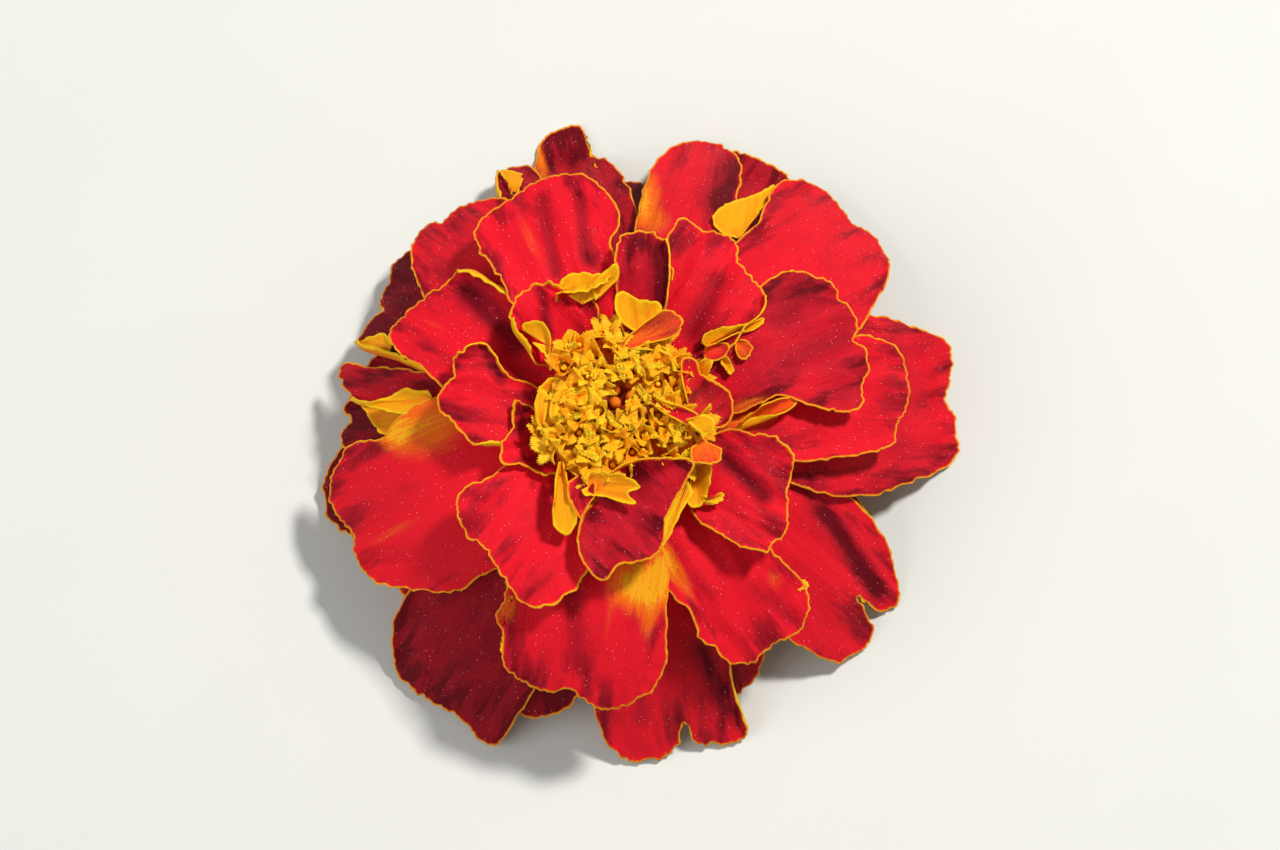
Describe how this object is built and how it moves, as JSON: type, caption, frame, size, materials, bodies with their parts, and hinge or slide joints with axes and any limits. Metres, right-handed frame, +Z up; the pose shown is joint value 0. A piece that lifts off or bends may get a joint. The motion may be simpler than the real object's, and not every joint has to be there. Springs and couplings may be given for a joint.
{
  "type": "marigold flower",
  "caption": "Double French marigold bloom, picked with a short cut stalk: ruffled red, gold-edged petals round a yellow disc, in a ribbed green cup. Rests face up.",
  "frame": {"origin": "middle of the footprint, on the surface that the flower rests on", "axes": "+Z up along the flower's axis, towards the disc; +X and +Y across the bloom"},
  "size_m": [0.053, 0.0542, 0.0216],
  "materials": {
    "green_cup": "waxy, ribbed",
    "red_petal": "velvety, golden margin, yellow-orange underside",
    "yellow_floret": "matte, hairy"
  },
  "bodies": {
    "root": {"involucre": "green_cup", "ray_florets": "red_petal", "disc_florets": "yellow_floret"}
  },
  "joints": []
}
